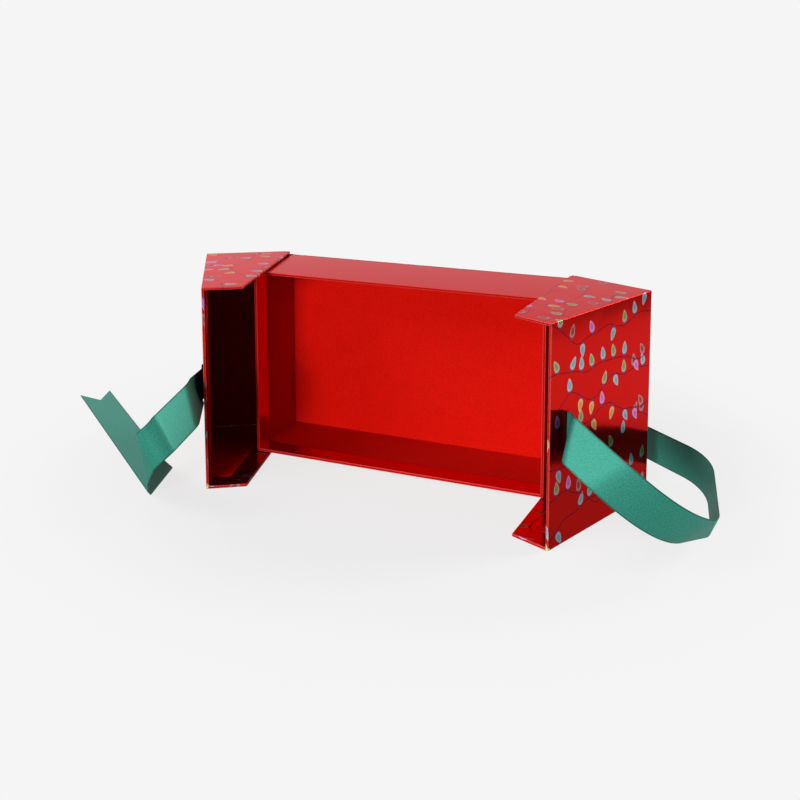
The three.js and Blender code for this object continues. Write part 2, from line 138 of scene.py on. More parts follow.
def garland_string(tree, sheet, row):
    """One string of light bulbs along a flat sheet in millimetres, in the row with the given number.
    Gives how much of a point its line, its caps, its bulbs and their rims cover, and their colour."""
    axes = add(tree, "SeparateXYZ", {0: sheet})
    column = add(tree, "Math", {0: axes.outputs["X"], 1: bulb_spacing}, operation="DIVIDE")
    whole = add(tree, "Math", {0: column.outputs[0]}, operation="FLOOR")
    middle = add(tree, "Math", {0: whole.outputs[0], 1: bulb_spacing, 2: bulb_spacing / 2},
                 operation="MULTIPLY_ADD")
    nominal = add(tree, "Math", {0: row, 1: string_pitch}, operation="MULTIPLY")

    def string_height(x):
        place = add(tree, "CombineXYZ", {"X": x, "Y": nominal.outputs[0]})
        # each string swings by up to 9 mm over about 45 mm, in its own way
        scaled = add(tree, "VectorMath", {0: place.outputs[0], 1: (1 / 43, 7.31, 0.0)}, operation="MULTIPLY")
        swing = add(tree, "TexNoise", {"Vector": scaled.outputs[0], "Scale": 1.0, "Detail": 0.6},
                    noise_dimensions="2D")
        centred = add(tree, "Math", {0: swing.outputs["Fac"], 1: string_swing, 2: -string_swing / 2},
                      operation="MULTIPLY_ADD")
        return add(tree, "Math", {0: centred.outputs[0], 1: nominal.outputs[0]}).outputs[0]

    # the string is a line 0.6 mm wide
    off_string = add(tree, "Math", {0: axes.outputs["Y"], 1: string_height(axes.outputs["X"])},
                     operation="SUBTRACT")
    string_off = add(tree, "Math", {0: off_string.outputs[0]}, operation="ABSOLUTE")
    string = add(tree, "MapRange", {"Value": string_off.outputs[0], "From Min": 0.42, "From Max": 0.18})
    # each cell along the row draws its own bulb: whether it stands or hangs, shows at all, and leans
    cell = add(tree, "CombineXYZ", {"X": whole.outputs[0], "Y": row})
    chance = add(tree, "TexWhiteNoise", {"Vector": cell.outputs[0]}, noise_dimensions="2D")
    pick = add(tree, "SeparateColor", {0: chance.outputs["Color"]})
    stands = add(tree, "Math", {0: pick.outputs["Red"], 1: hanging_share}, operation="GREATER_THAN")
    side = add(tree, "Math", {0: stands.outputs[0], 1: 2.0, 2: -1.0}, operation="MULTIPLY_ADD")
    shown = add(tree, "Math", {0: pick.outputs["Blue"], 1: missing_share}, operation="GREATER_THAN")
    lean = add(tree, "Math", {0: pick.outputs["Green"], 1: 2 * most_lean, 2: -most_lean},
               operation="MULTIPLY_ADD")
    beside = add(tree, "Math", {0: axes.outputs["X"], 1: middle.outputs[0]}, operation="SUBTRACT")
    above = add(tree, "Math", {0: axes.outputs["Y"], 1: string_height(middle.outputs[0])},
                operation="SUBTRACT")
    out = add(tree, "Math", {0: above.outputs[0], 1: side.outputs[0]}, operation="MULTIPLY")
    flat = add(tree, "CombineXYZ", {"X": beside.outputs[0], "Y": out.outputs[0]})
    turned = add(tree, "VectorRotate", {"Vector": flat.outputs[0], "Angle": lean.outputs[0]},
                 rotation_type="Z_AXIS")
    place = add(tree, "SeparateXYZ", {0: turned.outputs[0]})
    # a bulb is 8.8 mm long and 5.3 mm wide, full near its cap and drawn in towards its tip
    length_share = add(tree, "Math", {0: place.outputs["Y"], 1: 1 / bulb_half_length,
                                      2: -bulb_from_string / bulb_half_length}, operation="MULTIPLY_ADD")
    taper = add(tree, "Math", {0: length_share.outputs[0], 1: -bulb_taper, 2: bulb_half_width},
                operation="MULTIPLY_ADD")
    width_share = add(tree, "Math", {0: place.outputs["X"], 1: taper.outputs[0]}, operation="DIVIDE")
    spot = add(tree, "CombineXYZ", {"X": width_share.outputs[0], "Y": length_share.outputs[0]})
    reach = add(tree, "VectorMath", {0: spot.outputs[0]}, operation="LENGTH")
    outline = add(tree, "MapRange", {"Value": reach.outputs["Value"], "From Min": 1.0, "From Max": 0.94})
    bulb = add(tree, "Math", {0: outline.outputs[0], 1: shown.outputs[0]}, operation="MULTIPLY")
    rim = add(tree, "MapRange", {"Value": reach.outputs["Value"], "From Min": 0.45, "From Max": 0.7})
    cap_across = add(tree, "Math", {0: place.outputs["X"]}, operation="ABSOLUTE")
    cap_narrow = add(tree, "Math", {0: cap_across.outputs[0], 1: cap_half}, operation="LESS_THAN")
    cap_middle = add(tree, "Math", {0: place.outputs["Y"], 1: cap_from_string, 2: cap_half},
                     operation="COMPARE")
    cap_whole = add(tree, "Math", {0: cap_narrow.outputs[0], 1: cap_middle.outputs[0]}, operation="MULTIPLY")
    cap = add(tree, "Math", {0: cap_whole.outputs[0], 1: shown.outputs[0]}, operation="MULTIPLY")
    inks = add(tree, "ValToRGB", {"Fac": chance.outputs["Value"]})
    inks.color_ramp.interpolation = "CONSTANT"
    for i, colour in enumerate(bulb_inks):
        stop = inks.color_ramp.elements[i] if i < 2 else inks.color_ramp.elements.new(1)
        stop.position = i / len(bulb_inks)
        stop.color = linear(colour)
    return {"string": string.outputs[0], "cap": cap.outputs[0], "bulb": bulb.outputs[0],
            "rim": rim.outputs[0], "ink": inks.outputs["Color"]}


def garland_print(tree, sheet, paper_colour):
    """The garland over the whole flat sheet. Gives the printed colour, and where bulbs cover the paper."""
    axes = add(tree, "SeparateXYZ", {0: sheet})
    rows = add(tree, "Math", {0: axes.outputs["Y"], 1: string_pitch}, operation="DIVIDE")
    row = add(tree, "Math", {0: rows.outputs[0]}, operation="FLOOR")
    next_row = add(tree, "Math", {0: row.outputs[0], 1: 1.0})
    colour, covers = paper_colour, []
    for number in (row, next_row):
        string = garland_string(tree, sheet, number.outputs[0])
        with_string = add(tree, "Mix", {0: string["string"], 6: colour, 7: linear("#5c1026")},
                          data_type="RGBA")
        with_cap = add(tree, "Mix", {0: string["cap"], 6: with_string.outputs[2], 7: linear("#55407c")},
                       data_type="RGBA")
        # a bulb is drawn as a darker drop inside a paler outline
        outline = add(tree, "Mix", {0: 0.24, 6: string["ink"], 7: linear("#e6eef0")}, data_type="RGBA")
        filled = add(tree, "Mix", {0: string["rim"], 6: string["ink"], 7: outline.outputs[2]},
                     data_type="RGBA")
        colour = add(tree, "Mix", {0: string["bulb"], 6: with_cap.outputs[2], 7: filled.outputs[2]},
                     data_type="RGBA").outputs[2]
        covers.append(string["bulb"])
    ink_cover = add(tree, "Math", {0: covers[1], 1: covers[0]}, operation="MAXIMUM")
    return colour, ink_cover.outputs[0]


def bare_corners(tree, sheet, fibre):
    """Where the print is scuffed off at the corners that a door stands on, about 2 mm round each."""
    in_plane = add(tree, "VectorMath", {0: sheet, 1: (1.0, 1.0, 0.0)}, operation="MULTIPLY")
    either_side = add(tree, "VectorMath", {0: in_plane.outputs[0]}, operation="ABSOLUTE")
    free_corner = add(tree, "CombineXYZ", {"X": hinge_x + depth + width, "Y": half})
    from_corner = add(tree, "VectorMath", {0: either_side.outputs[0], 1: free_corner.outputs[0]},
                      operation="DISTANCE")
    ragged = add(tree, "Math", {0: fibre, 1: 3.0, 2: 0.4}, operation="MULTIPLY_ADD")
    near_corner = add(tree, "Math", {0: from_corner.outputs["Value"], 1: ragged.outputs[0]},
                      operation="LESS_THAN")
    axes = add(tree, "SeparateXYZ", {0: sheet})
    lower = add(tree, "Math", {0: axes.outputs["Y"], 1: 0.0}, operation="LESS_THAN")
    bare = add(tree, "Math", {0: near_corner.outputs[0], 1: lower.outputs[0]}, operation="MULTIPLY")
    return bare.outputs[0]


def film_red(tree, fibre):
    """The red of the film, which varies a little, as metallised paper does over its fibres."""
    red = add(tree, "Mix", {0: fibre, 6: linear("#c6130a"), 7: linear("#cf140b")}, data_type="RGBA")
    return red.outputs[2]


def creased_film_and_highlight(tree, colour, roughness, creased_roughness):
    """The film where it wears: folded round an edge it dulls and mirrors less, and a free edge's
    roundings dull where they rub and are painted a little paler, a painted highlight. Gives its colour, its
    roughness and how metallic it is."""
    wear_and_highlight = add(tree, "Attribute", attribute_name="wear_and_highlight").outputs["Fac"]
    dulled = add(tree, "Mix", {0: wear_and_highlight, 2: roughness, 3: creased_roughness}, data_type="FLOAT")
    # a painted highlight: where rubbed most, on the roundings, the film is painted a little paler
    painted_highlight = add(tree, "MapRange", {"Value": wear_and_highlight, "From Min": 0.7, "To Max": 0.12})
    paler = add(tree, "Mix", {0: painted_highlight.outputs[0], 6: colour, 7: linear("#e8a8a2")}, data_type="RGBA")
    mirror = add(tree, "Math", {0: wear_and_highlight, 1: -0.66, 2: 0.94}, operation="MULTIPLY_ADD")
    return paler.outputs[2], dulled.outputs[0], mirror.outputs[0]


def printed_foil_paper():
    """Metallised paper printed with clear inks and film laminated: the red is a tinted mirror, which
    goes dark where it reflects something dark, and the bulbs are other tints of the same mirror."""
    material, tree = new_material("printed_foil_paper")
    sheet = add(tree, "UVMap", uv_map="sheet").outputs[0]
    # fibres show through the film as a fine orange peel, 1.4 mm across
    fibre = add(tree, "TexNoise", {"Vector": sheet, "Scale": 1 / 1.4, "Detail": 3.0},
                noise_dimensions="2D").outputs["Fac"]
    printed, ink_cover = garland_print(tree, sheet, film_red(tree, fibre))
    film_roughness = add(tree, "MapRange", {"Value": fibre, "To Min": 0.11, "To Max": 0.17})
    ink_roughness = add(tree, "Mix", {0: ink_cover, 2: film_roughness.outputs[0], 3: 0.26},
                        data_type="FLOAT")
    colour, roughness, mirror = creased_film_and_highlight(tree, printed, ink_roughness.outputs[0], 0.5)
    # the bare corners show the cream paper, which is no mirror
    bare = bare_corners(tree, sheet, fibre)
    cream = add(tree, "Mix", {0: bare, 6: colour, 7: linear("#d8c487")}, data_type="RGBA")
    metallic = add(tree, "Math", {0: mirror, 1: bare}, operation="SUBTRACT", use_clamp=True)
    # the board under the paper is wavy over 24 mm, which bends what the film reflects
    wave = add(tree, "TexNoise", {"Vector": sheet, "Scale": 1 / 24, "Detail": 1.0}, noise_dimensions="2D")
    board = add(tree, "Bump", {"Height": wave.outputs["Fac"], "Strength": 0.5, "Distance": 0.0003})
    bump = add(tree, "Bump", {"Height": fibre, "Strength": 0.06, "Distance": 0.00005,
                              "Normal": board.outputs[0]})
    shader = add(tree, "BsdfPrincipled", {
        "Base Color": cream.outputs[2], "Metallic": metallic.outputs[0], "Roughness": roughness,
        "Specular Tint": linear("#ffc6ca"), "Specular IOR Level": 0.2, "Normal": bump.outputs[0]})
    add(tree, "OutputMaterial", {"Surface": shader.outputs[0]})
    return material


def red_foil_paper():
    """Plain red metallised paper, film laminated: the same tinted mirror with no print, over the tray."""
    material, tree = new_material("red_foil_paper")
    place = add(tree, "TexCoord").outputs["Object"]
    # fibres show through the film as a fine orange peel, 1.4 mm across
    fibre = add(tree, "TexNoise", {"Vector": place, "Scale": 700.0, "Detail": 3.0}).outputs["Fac"]
    film_roughness = add(tree, "MapRange", {"Value": fibre, "To Min": 0.13, "To Max": 0.2})
    colour, roughness, metallic = creased_film_and_highlight(tree, film_red(tree, fibre), film_roughness.outputs[0], 0.45)
    bump = add(tree, "Bump", {"Height": fibre, "Strength": 0.06, "Distance": 0.00005})
    shader = add(tree, "BsdfPrincipled", {
        "Base Color": colour, "Metallic": metallic, "Roughness": roughness,
        "Specular Tint": linear("#ffc6ca"), "Specular IOR Level": 0.2, "Normal": bump.outputs[0]})
    add(tree, "OutputMaterial", {"Surface": shader.outputs[0]})
    return material


def lining_paper():
    """Uncoated paper dyed red in the pulp and calendered: nearly matt, with a fine grain of fibres."""
    material, tree = new_material("lining_paper")
    place = add(tree, "TexCoord").outputs["Object"]
    # fibres are about 0.1 mm wide, drawn at 0.9 mm so that they show
    fibre = add(tree, "TexNoise", {"Vector": place, "Scale": 1100.0, "Detail": 2.0})
    # the dye lies unevenly over patches of 11 mm
    cloud = add(tree, "TexNoise", {"Vector": place, "Scale": 90.0, "Detail": 2.0})
    grain = add(tree, "Mix", {0: 0.12, 2: fibre.outputs["Fac"], 3: cloud.outputs["Fac"]},
                data_type="FLOAT")
    tone = add(tree, "MapRange", {"Value": grain.outputs[0], "From Min": 0.3, "From Max": 0.7})
    red = add(tree, "Mix", {0: tone.outputs[0], 6: linear("#a90a04"), 7: linear("#c8120a")},
              data_type="RGBA")
    roughness = add(tree, "MapRange", {"Value": tone.outputs[0], "To Min": 0.55, "To Max": 0.65})
    bump = add(tree, "Bump", {"Height": fibre.outputs["Fac"], "Strength": 0.5, "Distance": 0.0001})
    shader = add(tree, "BsdfPrincipled", {
        "Base Color": red.outputs[2], "Specular IOR Level": 0.12,
        "Roughness": roughness.outputs[0], "Normal": bump.outputs[0]})
    add(tree, "OutputMaterial", {"Surface": shader.outputs[0]})
    return material


def grey_board():
    """Recycled grey board: matt, with pale and dark fibres pressed flat."""
    material, tree = new_material("grey_board")
    place = add(tree, "TexCoord").outputs["Object"]
    # clumps of fibre about 2 mm across
    fibre = add(tree, "TexNoise", {"Vector": place, "Scale": 500.0, "Detail": 4.0})
    tone = add(tree, "MapRange", {"Value": fibre.outputs["Fac"], "From Min": 0.35, "From Max": 0.65})
    grey = add(tree, "Mix", {0: tone.outputs[0], 6: linear("#857b6c"), 7: linear("#a1978a")},
               data_type="RGBA")
    bump = add(tree, "Bump", {"Height": fibre.outputs["Fac"], "Strength": 0.3, "Distance": 0.0001})
    shader = add(tree, "BsdfPrincipled", {
        "Base Color": grey.outputs[2], "Roughness": 0.9, "Normal": bump.outputs[0]})
    add(tree, "OutputMaterial", {"Surface": shader.outputs[0]})
    return material


def satin():
    """Woven polyester satin ribbon: long threads along it that shine across their run, with fine
    ribs across and a firm woven edge a little darker than the face."""
    material, tree = new_material("satin")
    sheet = add(tree, "UVMap", uv_map="sheet").outputs[0]
    axes = add(tree, "SeparateXYZ", {0: sheet})
    # threads are about 0.12 mm apart, drawn at 0.45 mm so that they show
    stretched = add(tree, "VectorMath", {0: sheet, 1: (0.75, 2.2, 1.0)}, operation="MULTIPLY")
    thread = add(tree, "TexNoise", {"Vector": stretched.outputs[0], "Scale": 1.0, "Detail": 2.0},
                 noise_dimensions="2D")
    across = add(tree, "VectorMath", {0: sheet, 1: (2.4, 0.9, 1.0)}, operation="MULTIPLY")
    rib = add(tree, "TexNoise", {"Vector": across.outputs[0], "Scale": 1.0, "Detail": 1.0},
              noise_dimensions="2D")
    weave = add(tree, "Mix", {0: 0.5, 2: thread.outputs["Fac"], 3: rib.outputs["Fac"]},
                data_type="FLOAT")
    tone = add(tree, "MapRange", {"Value": weave.outputs[0], "From Min": 0.35, "From Max": 0.65})
    green = add(tree, "Mix", {0: tone.outputs[0], 6: linear("#29806d"), 7: linear("#419a89")},
                data_type="RGBA")
    # the woven edge is 0.6 to 0.9 mm wide
    from_middle = add(tree, "Math", {0: axes.outputs["Y"]}, operation="ABSOLUTE")
    selvage = add(tree, "MapRange", {"Value": from_middle.outputs[0], "From Min": ribbon_width / 2 - 0.9,
                                     "From Max": ribbon_width / 2 - 0.6})
    colour = add(tree, "Mix", {0: selvage.outputs[0], 6: green.outputs[2], 7: linear("#1f6556")},
                 data_type="RGBA")
    bump = add(tree, "Bump", {"Height": weave.outputs[0], "Strength": 0.5, "Distance": 0.0001})
    along = add(tree, "Tangent", direction_type="UV_MAP", uv_map="sheet")
    shader = add(tree, "BsdfPrincipled", {
        "Base Color": colour.outputs[2], "Metallic": 0.5, "Specular Tint": linear("#d8f4ee"),
        "Roughness": 0.5, "Anisotropic": 0.5, "Anisotropic Rotation": 0.25, "Tangent": along.outputs[0],
        "Normal": bump.outputs[0]})
    add(tree, "OutputMaterial", {"Surface": shader.outputs[0]})
    return material


foil_print = printed_foil_paper()
foil_red = red_foil_paper()
lining = lining_paper()
board_grey = grey_board()
ribbon_satin = satin()


# Mesh helpers
def smooth_by_area(mesh):
    """Shades the mesh smooth, with each point's normal led by its largest faces, so flats stay flat."""
    normals = np.zeros((len(mesh.vertices), 3))
    for face in mesh.polygons:
        normals[list(face.vertices)] += np.array(face.normal) * face.area
    lengths = np.linalg.norm(normals, axis=1, keepdims=True)
    mesh.polygons.foreach_set("use_smooth", [True] * len(mesh.polygons))
    mesh.normals_split_custom_set_from_vertices((normals / np.maximum(lengths, 1e-12)).tolist())


def link_piece(name, mesh, material, body, slot, *nodes):
    """Makes a mesh into a piece of the object, which rides a body and takes the place of solid nodes."""
    mesh.materials.append(material)
    piece = bpy.data.objects.new(name, mesh)
    bpy.context.scene.collection.objects.link(piece)
    if body:
        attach(piece, body)
    if nodes:
        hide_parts(*nodes)
    return piece


def finished_mesh(bm, name, to_room):
    """Turns a bmesh in millimetres into a mesh in metres in the room, with its faces looking out."""
    bm.transform(Matrix.Scale(MM, 4) @ to_room)
    bmesh.ops.recalc_face_normals(bm, faces=bm.faces)
    mesh = bpy.data.meshes.new(name)
    bm.to_mesh(mesh)
    bm.free()
    smooth_by_area(mesh)
    return mesh


def door_to_room(side, degrees):
    """From a door's own inward, forward and upward distances to the room, in millimetres."""
    turn = Matrix.Rotation(side * math.radians(degrees), 4, "Z")
    own = Matrix(((-side, 0, 0, 0), (0, -1, 0, 0), (0, 0, 1, 0), (0, 0, 0, 1)))
    return Matrix.Translation((side * hinge_x, 0, 0)) @ turn @ own


# How far the paper wears: creased on a folded edge, pressed on a free edge, rubbed on its roundings,
# where it also gets a painted highlight
creased, pressed, rubbed_and_highlit = 0.5, 0.6, 1.0


def mark_wear_and_highlight(bm, faces, amount):
    """Marks how far the paper wears on some faces, which also sets its painted highlight, for the foils'
    materials.
    """
    wear_and_highlight = bm.loops.layers.float.get("wear_and_highlight") or bm.loops.layers.float.new("wear_and_highlight")
    for f in faces:
        for loop in f.loops:
            loop[wear_and_highlight] = amount


def lay_flat(bm, place):
    """Gives each corner of each face its place on the flat sheet, in millimetres."""
    sheet = bm.loops.layers.uv.new("sheet")
    for f in bm.faces:
        for loop in f.loops:
            loop[sheet].uv = place(f, loop.vert)


def fill_slab(bm, low, high):
    """Makes the faces of a thin slab from the points of its two sides, given as grids."""
    rows, columns = len(low) - 1, len(low[0]) - 1
    for i in range(rows):
        for j in range(columns):
            bm.faces.new((high[i][j], high[i + 1][j], high[i + 1][j + 1], high[i][j + 1]))
            bm.faces.new((low[i][j], low[i][j + 1], low[i + 1][j + 1], low[i + 1][j]))
        bm.faces.new((low[i][0], low[i + 1][0], high[i + 1][0], high[i][0]))
        bm.faces.new((low[i][columns], high[i][columns], high[i + 1][columns], low[i + 1][columns]))
    for j in range(columns):
        bm.faces.new((low[0][j], high[0][j], high[0][j + 1], low[0][j + 1]))
        bm.faces.new((low[rows][j], low[rows][j + 1], high[rows][j + 1], high[rows][j]))


# Door shells
def sheet_place(side, normal, point):
    """Where a point of a door shell lies on the flat printed sheet, in millimetres. The outside of the
    board comes first, and the paper that is turned in round an edge goes on from there."""
    u, v, w = point
    way = 1 if w > 0 else -1
    up = way * (half + depth - v)
    sizes = [abs(c) for c in normal]
    if sizes[2] == max(sizes):
        off_slope = -u * flap_slope.y + v * flap_slope.x
        if normal[2] * way > 0:
            # the outside of a flap
            x, y = u, up
        elif width - u < off_slope:
            # the inside of a flap, turned in round its free edge
            x, y = 2 * width + door_board - u, up
        else:
            # the inside of a flap, turned in round its sloping edge
            round_slope = 2 * off_slope + door_board
            x = u + round_slope * flap_slope.y
            y = way * (half + depth - (v - round_slope * flap_slope.x))
    elif sizes[1] == max(sizes):
        if normal[1] > 0:
            # the outside of the lid panel
            x, y = u, w
        elif v > depth - door_board - 1:
            # the inside of the lid panel, turned in round its free edge
            x, y = 2 * width + door_board - u, w
        else:
            # the sloping and cut edges of a flap
            x, y = u, up + way * (half - abs(w))
    elif normal[0] < 0:
        # the outside of the end panel
        x, y = v - depth, w
    elif u > width - 1:
        # the free edges of the lid panel and of the flaps
        x, y = (width + depth - v, w) if abs(w) < half - door_board else (width + half - abs(w), up)
    else:
        # the inside of the end panel, turned in round its edge at the hinge
        x, y = -depth - v, w
    return side * (hinge_x + depth + x), y


def build_door_shell(side, name, degrees):
    """One door's lid panel, end panel and two flaps, as one piece of board wrapped in printed paper."""
    rounding = 0.6
    cut_in = flap_slope * corner_cut
    cut_slope = (cut_in.y - corner_cut) / cut_in.x
    outer = {"fold": (0, depth), "edge": (width, depth), "short": (width, short_from),
             "cut": tuple(cut_in), "end": (0, corner_cut), "hinge": (0, hinge_gap)}
    inner = {"fold": (door_board, depth - door_board), "edge": (width, depth - door_board),
             "short": (width, short_from), "cut": tuple(cut_in),
             "end": (door_board, corner_cut + cut_slope * door_board), "hinge": (door_board, hinge_gap)}
    bm = bmesh.new()
    points = {}
    for layer, places, reach in (("outer", outer, half), ("inner", inner, half - door_board)):
        for key, (u, v) in places.items():
            for way in (1, -1):
                points[layer, key, way] = bm.verts.new((u, v, way * reach))
        for i, (u, w) in enumerate(((-1, -1), (1, -1), (1, 1), (-1, 1))):
            v = places["fold"][1]
            points[layer, "slit", i] = bm.verts.new((slit_at + u * slit_width / 2, v, w * slit_height / 2))

    def face(*keys):
        return bm.faces.new([points[key] for key in keys])

    rim = ("fold", "edge", "short", "cut", "end", "hinge")
    for layer in ("outer", "inner"):
        corners = [(layer, "fold", -1), (layer, "edge", -1), (layer, "edge", 1), (layer, "fold", 1)]
        for i in range(4):
            j = (i + 1) % 4
            face(corners[i], corners[j], (layer, "slit", j), (layer, "slit", i))
        face(*[(layer, key, 1) for key in ("fold", "end", "hinge")],
             *[(layer, key, -1) for key in ("hinge", "end", "fold")])
        for way in (1, -1):
            face(*[(layer, key, way) for key in ("fold", "edge", "short", "cut", "end")])
    for i in range(4):
        j = (i + 1) % 4
        face(("outer", "slit", i), ("outer", "slit", j), ("inner", "slit", j), ("inner", "slit", i))
    for way in (1, -1):
        for one, other in zip(rim[1:-1], rim[2:]):
            face(("outer", one, way), ("outer", other, way), ("inner", other, way), ("inner", one, way))
    for key in ("edge", "hinge"):
        face(("outer", key, 1), ("outer", key, -1), ("inner", key, -1), ("inner", key, 1))
    bmesh.ops.recalc_face_normals(bm, faces=bm.faces)

    # the turned-in paper of each flap meets at a mitre on its inner face
    bisector = (Vector((0, 1)) - flap_slope).normalized()
    mitre = width + bisector.x * (depth - door_board - short_from) / bisector.y
    for way in (1, -1):
        fold_vert, edge_vert = points["inner", "fold", way], points["inner", "edge", way]
        edge = bm.edges.get((fold_vert, edge_vert))
        share = (mitre - door_board) / (width - door_board)
        new_vert = bmesh.utils.edge_split(edge, fold_vert, share)[1]
        flap = next(f for f in new_vert.link_faces if points["inner", "short", way] in f.verts)
        bmesh.utils.face_split(flap, new_vert, points["inner", "short", way])

    # all its sharp edges are rounded but the slit's own
    slit_verts = {v for key, v in points.items() if key[1] == "slit"}
    sharp = [e for e in bm.edges if len(e.link_faces) == 2 and e.calc_face_angle(0) > math.radians(30)
             and not slit_verts.issuperset(e.verts)]
    rounded = bmesh.ops.bevel(bm, geom=sharp, offset=rounding, segments=3, profile=0.5, affect="EDGES",
                              clamp_overlap=True)["faces"]
    mark_wear_and_highlight(bm, rounded, creased)
    # the flat of the free edges, and the roundings within a millimetre of a free or sloping edge, which also
    # get a painted highlight
    mark_wear_and_highlight(bm, [f for f in bm.faces if f.normal.x > 0.9 and f.calc_center_median().x > width - 0.1],
              pressed)
    free = []
    for f in rounded:
        middle = f.calc_center_median()
        off_slope = abs(middle.y * flap_slope.x - middle.x * flap_slope.y)
        if middle.x > width - 1 or off_slope < 1:
            free.append(f)
    mark_wear_and_highlight(bm, free, rubbed_and_highlit)
    bm.normal_update()
    lay_flat(bm, lambda f, vert: sheet_place(side, f.normal, vert.co))
    mesh = finished_mesh(bm, f"{name}_door_shell", door_to_room(side, degrees))
    link_piece(f"{name}_door_shell", mesh, foil_print, f"{name}_door", "cover_paper",
               f"{name}_lid_panel", f"{name}_end_panel", f"{name}_top_flap", f"{name}_bottom_flap")


def smooth_step(value, start, end):
    """Rises softly from 0 where the value is at the start to 1 at the end."""
    share = np.clip((value - start) / (end - start), 0, 1)
    return share * share * (3 - 2 * share)


def build_lid_lining(side, name, degrees):
    """The lid's lining paper, raised softly over the glued end of the ribbon."""
    from_edge = door_board + 0.7
    # how far the paper takes to come down before the glued end, past the slit and beside the ribbon
    before, past, beside = 5.0, 2.1, 3.5
    tab_from, tab_to = slit_at - ribbon_tab, slit_at + 0.9
    # the scene's cloth is thick, so the paper is raised half as much again as in the solid model
    height = 1.5 * ribbon_raised
    bm = bmesh.new()
    grids = []
    for lift in (glue_gap, glue_gap + paper):
        grid = []
        for u in np.linspace(from_edge, width - turn_in, 61):
            along = smooth_step(u, tab_from - before, tab_from) * smooth_step(u, tab_to + past, tab_to)
            row = []
            for w in np.linspace(-half + from_edge, half - from_edge, 81):
                raised = along * smooth_step(abs(w), ribbon_width / 2 + beside, ribbon_width / 2)
                row.append(bm.verts.new((u, depth - door_board - lift - height * raised, w)))
            grid.append(row)
        grids.append(grid)
    fill_slab(bm, *grids)
    mesh = finished_mesh(bm, f"{name}_lid_lining_sheet", door_to_room(side, degrees))
    link_piece(f"{name}_lid_lining_sheet", mesh, lining, f"{name}_door", "lining_paper", f"{name}_lid_lining")


def build_hinge_paper(side, name, degrees):
    """The cover paper from the back panel round the hinge to the end panel, bent to where the door stands."""
    # how far it overlaps the back cover, how far forward it goes along the end panel, and its thickness
    on_back, on_door, thickness = 0.2, 2.2, 0.3
    start_x = tray_length / 2 - on_back
    start = Vector((side * start_x, 0, 0))
    corner = Vector((side * hinge_x, 0, 0))
    end = door_to_room(side, degrees) @ Vector((0, on_door, 0))
    last = 16
    samples = []
    for i in range(last + 1):
        t = i / last
        samples.append(start * (1 - t) ** 2 + corner * 2 * t * (1 - t) + end * t * t)
    bm = bmesh.new()
    rings = []
    flat_x = {}
    run = 0.0
    for i, point in enumerate(samples):
        before = samples[max(i - 1, 0)]
        ahead = (samples[min(i + 1, last)] - before).normalized()
        off = Vector((ahead.y, -ahead.x, 0)) * side
        run += (point - before).length
        ring = []
        for up, lift in ((-0.5, 0), (0.5, 0), (0.5, thickness), (-0.5, thickness)):
            vert = bm.verts.new(point + off * lift + Vector((0, 0, tray_height * up)))
            flat_x[vert] = side * (start_x + run)
            ring.append(vert)
        rings.append(ring)
    for one, other in zip(rings, rings[1:]):
        for j in range(4):
            k = (j + 1) % 4
            bm.faces.new((one[j], one[k], other[k], other[j]))
    bm.faces.new(rings[0])
    bm.faces.new(rings[-1])
    lay_flat(bm, lambda f, vert: (flat_x[vert], vert.co.z))
    mesh = finished_mesh(bm, f"{name}_hinge_paper", Matrix.Identity(4))
    piece = link_piece(f"{name}_hinge_paper", mesh, foil_print, None, "cover_paper", f"{name}_hinge_strip")
    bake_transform(piece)


# Tray
def corner_ring(inwards, rounding):
    """The outline of the tray at a distance in from its outside, with rounded corners."""
    x, z = tray_length / 2 - inwards, tray_height / 2 - inwards
    steps = 4
    ring = []
    for sx, sz, turn in ((1, -1, -90), (1, 1, 0), (-1, 1, 90), (-1, -1, 180)):
        for i in range(steps + 1):
            angle = math.radians(turn + 90 * i / steps)
            ring.append((sx * (x - rounding) + rounding * math.cos(angle),
                         sz * (z - rounding) + rounding * math.sin(angle)))
    return ring


def build_tray_cover():
    """The red paper round the tray's outside, over its rim and down inside."""
    skin = paper + glue_gap
    rim_in = skin + tray_board + skin + skin
    lip = front - turn_in
    back = back_thickness + glue_gap
    # the rounding of the folds, and of the four corners outside and well inside
    edge, outer_corner, inner_corner = 0.45, 0.9, 0.12

    def arc(inwards, forward, start, radius):
        return [(inwards + radius * math.cos(math.radians(start - a)),
                 forward + radius * math.sin(math.radians(start - a))) for a in (0, 22.5, 45, 67.5, 90)]

    profile = [(turn_in, back), (edge, back), (0, back + edge)]
    profile += arc(edge, front - edge, 180, edge)
    profile += arc(rim_in - edge, front - edge, 90, edge)
    profile += [(rim_in, lip), (rim_in - paper, lip), (rim_in - paper, front - edge - paper),
                (rim_in - edge - paper, front - paper), (edge + paper, front - paper),
                (paper, front - edge - paper), (paper, back + paper), (turn_in, back + paper)]
    bm = bmesh.new()
    rings = []
    for inwards, forward in profile:
        rounding = max(inner_corner, outer_corner - inwards)
        rings.append([bm.verts.new((x, -forward, z)) for x, z in corner_ring(inwards, rounding)])
    count = len(rings[0])
    for i, ring in enumerate(rings):
        after = rings[(i + 1) % len(rings)]
        for j in range(count):
            k = (j + 1) % count
            bm.faces.new((ring[j], ring[k], after[k], after[j]))
    # the rim is pressed flat, and its roundings, which lie just behind the flat of it, are rubbed and get a
    # painted highlight
    mark_wear_and_highlight(bm, [f for f in bm.faces if f.calc_center_median().y < -front + 1], pressed)
    mark_wear_and_highlight(bm, [f for f in bm.faces if -front + 0.01 < f.calc_center_median().y < -front + edge], rubbed_and_highlit)
    mesh = finished_mesh(bm, "tray_cover", Matrix.Identity(4))
    link_piece("tray_cover", mesh, foil_red, "tray", "cover_paper", "tray_wrap")


